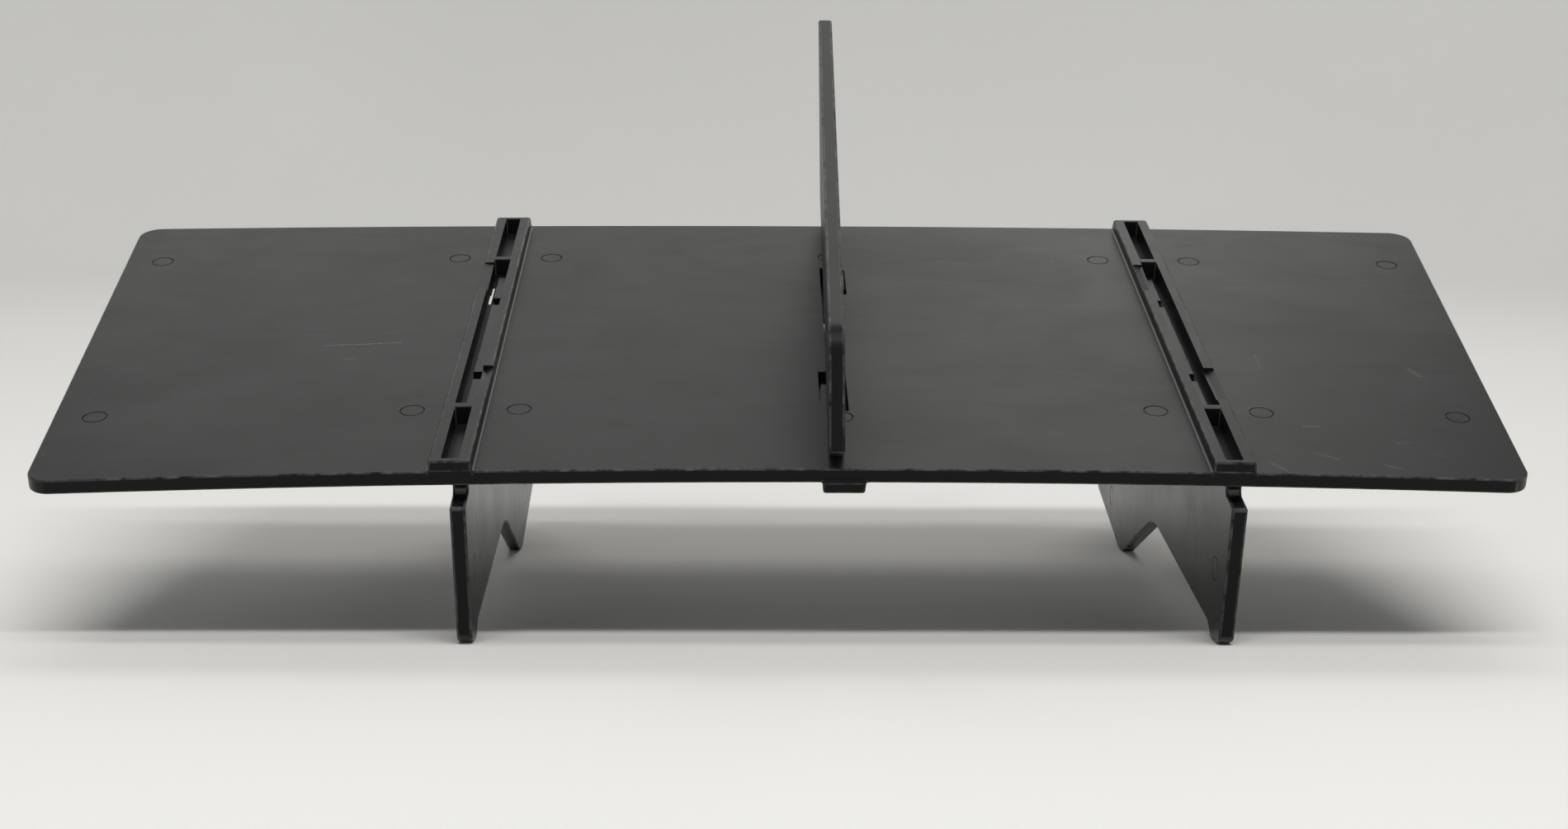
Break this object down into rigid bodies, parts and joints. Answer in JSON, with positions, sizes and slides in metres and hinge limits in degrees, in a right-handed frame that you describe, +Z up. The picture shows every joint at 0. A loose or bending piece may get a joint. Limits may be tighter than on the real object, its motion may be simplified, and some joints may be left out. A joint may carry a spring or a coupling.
{
  "type": "photo album stand",
  "caption": "Sloping moulded album stand: a wide thin top plate on push-in leg panels, with an upright divider panel in its middle slot.",
  "frame": {"origin": "bottom centre of the bounding box, on the ground under the feet", "axes": "+Z up, +X along the plate to the viewer's right, +Y to the rear, where the plate is highest"},
  "size_m": [0.3842, 0.2058, 0.1596],
  "materials": {
    "plate_plastic": "fine moulded grain, black",
    "left_leg_plastic": "fine moulded grain, black",
    "right_leg_plastic": "fine moulded grain, black",
    "divider_plastic": "fine moulded grain, black"
  },
  "bodies": {
    "plate": {"top_plate": "plate_plastic"},
    "left_leg_panel": {"left_leg": "left_leg_plastic"},
    "right_leg_panel": {"right_leg": "right_leg_plastic"},
    "divider_panel": {"divider": "divider_plastic"}
  },
  "joints": [
    {"name": "left_leg_pull", "type": "slide", "parent": "plate", "child": "left_leg_panel", "axis": [0, 0.319, -0.9478], "range_m": [0, 0.014]},
    {"name": "right_leg_pull", "type": "slide", "parent": "plate", "child": "right_leg_panel", "axis": [0, 0.319, -0.9478], "range_m": [0, 0.014]},
    {"name": "divider_pull", "type": "slide", "parent": "plate", "child": "divider_panel", "axis": [0, -0.319, 0.9478], "range_m": [0, 0.014]}
  ]
}
